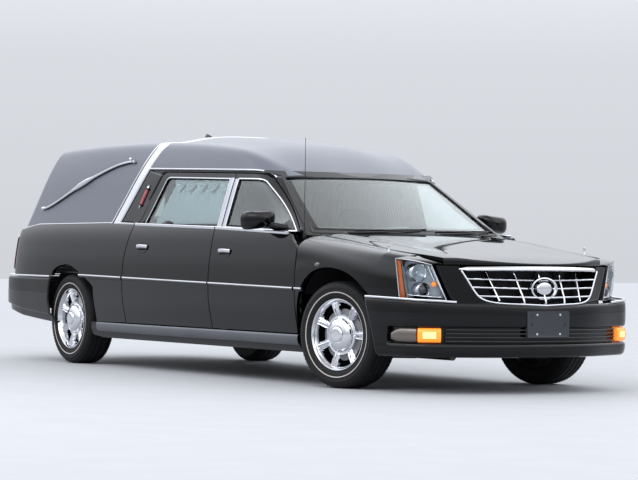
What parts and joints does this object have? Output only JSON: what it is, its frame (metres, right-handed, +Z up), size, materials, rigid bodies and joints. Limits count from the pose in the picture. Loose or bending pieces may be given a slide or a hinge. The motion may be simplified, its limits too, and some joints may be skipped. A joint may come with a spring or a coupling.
{
  "type": "hearse",
  "caption": "Long black hearse with a vinyl-covered roof, raked bright crown band, landau bars, opening doors, hood and rear loading door, and steered front wheels.",
  "frame": {"origin": "on the ground under the middle of the vehicle: half its length, half its width", "axes": "+X forward, +Y to the vehicle's left, +Z up"},
  "size_m": [6.18, 2.12, 1.784],
  "materials": {
    "body_paint": "gloss",
    "vinyl": "grained satin",
    "bright_trim": "polished",
    "window_glass": "clear",
    "red_lens": "ribbed lens",
    "rose_lens": "lens",
    "clear_lens": "clear lens",
    "dark_plastic": "grained",
    "underbody": "satin underseal",
    "deck_trim": "brushed",
    "seat_leather": "satin",
    "engine_metal": "cast",
    "exhaust_steel": "dull",
    "drape_cloth": "soft sheen",
    "cast_metal": "as cast",
    "wheel_chrome": "polished",
    "tyre": "matte sidewall"
  },
  "bodies": {
    "car": {"side_frames": "body_paint", "roof_shell": "vinyl", "crown_band": "bright_trim", "windshield": "window_glass", "quarter_panels": "body_paint", "tail_lamps": "red_lens", "landau_bars": "bright_trim", "coach_lamps": "rose_lens", "fenders": "body_paint", "bumper_front": "body_paint", "plate_holder": "dark_plastic", "front_lamps": "clear_lens", "grille": "bright_trim", "bumper_rear": "body_paint", "floor_pan": "underbody", "casket_deck": "deck_trim", "front_seats": "seat_leather", "dashboard": "dark_plastic", "steering_wheel": "seat_leather", "engine_block": "engine_metal", "front_subframe": "underbody", "rear_axle": "underbody", "fuel_tank": "dark_plastic", "exhaust": "exhaust_steel", "masts": "bright_trim", "wheel_houses": "dark_plastic"},
    "hood": {"hood": "body_paint"},
    "loading_door": {"loading_door": "body_paint", "loading_glass": "window_glass"},
    "front_door_left": {"door_front_left": "body_paint", "glass_front_left": "window_glass", "mirror_left": "body_paint"},
    "rear_door_left": {"door_rear_left": "body_paint", "glass_rear_left": "window_glass", "drape_left": "drape_cloth"},
    "steered_left": {"knuckle_left": "cast_metal"},
    "front_wheel_left": {"wheel_front_left": "wheel_chrome", "tyre_front_left": "tyre"},
    "rear_wheel_left": {"wheel_rear_left": "wheel_chrome", "tyre_rear_left": "tyre"},
    "front_door_right": {"door_front_right": "body_paint", "glass_front_right": "window_glass", "mirror_right": "body_paint"},
    "rear_door_right": {"door_rear_right": "body_paint", "glass_rear_right": "window_glass", "drape_right": "drape_cloth"},
    "steered_right": {"knuckle_right": "cast_metal"},
    "front_wheel_right": {"wheel_front_right": "wheel_chrome", "tyre_front_right": "tyre"},
    "rear_wheel_right": {"wheel_rear_right": "wheel_chrome", "tyre_rear_right": "tyre"}
  },
  "joints": [
    {"name": "front_door_left_hinge", "type": "hinge", "parent": "car", "child": "front_door_left", "pos_m": [1.528, 0.938, 0.7], "axis": [0, 0, -1], "range_deg": [0, 65]},
    {"name": "rear_door_left_hinge", "type": "hinge", "parent": "car", "child": "rear_door_left", "pos_m": [0.3715, 0.938, 0.7], "axis": [0, 0, -1], "range_deg": [0, 68]},
    {"name": "steer_left", "type": "hinge", "parent": "car", "child": "steered_left", "pos_m": [1.99, 0.732, 0.345], "axis": [0, 0, 1], "range_deg": [-48.4, 21.6]},
    {"name": "front_wheel_left_spin", "type": "hinge", "parent": "steered_left", "child": "front_wheel_left", "pos_m": [1.97563, 0.79231, 0.345], "axis": [-0.2317, 0.9728, 0], "continuous": true},
    {"name": "rear_wheel_left_spin", "type": "hinge", "parent": "car", "child": "rear_wheel_left", "pos_m": [-1.83, 0.7875, 0.345], "axis": [0, 1, 0], "continuous": true},
    {"name": "front_door_right_hinge", "type": "hinge", "parent": "car", "child": "front_door_right", "pos_m": [1.528, -0.938, 0.7], "axis": [0, 0, 1], "range_deg": [0, 65]},
    {"name": "rear_door_right_hinge", "type": "hinge", "parent": "car", "child": "rear_door_right", "pos_m": [0.3715, -0.938, 0.7], "axis": [0, 0, 1], "range_deg": [0, 68]},
    {"name": "steer_right", "type": "hinge", "parent": "car", "child": "steered_right", "pos_m": [1.99, -0.732, 0.345], "axis": [0, 0, 1], "range_deg": [-48.4, 21.6]},
    {"name": "front_wheel_right_spin", "type": "hinge", "parent": "steered_right", "child": "front_wheel_right", "pos_m": [2.00437, -0.79231, 0.345], "axis": [-0.2317, 0.9728, 0], "continuous": true},
    {"name": "rear_wheel_right_spin", "type": "hinge", "parent": "car", "child": "rear_wheel_right", "pos_m": [-1.83, -0.7875, 0.345], "axis": [0, 1, 0], "continuous": true},
    {"name": "hood_hinge", "type": "hinge", "parent": "car", "child": "hood", "pos_m": [1.54, 0, 1.01], "axis": [0, -1, 0], "range_deg": [0, 45]},
    {"name": "loading_door_hinge", "type": "hinge", "parent": "car", "child": "loading_door", "pos_m": [-3.042, 0.628, 0.9], "axis": [0, 0, -1], "range_deg": [0, 100]}
  ],
  "couplings": [
    {"joint": "steer_right", "follows": "steer_left", "ratio": 1}
  ]
}
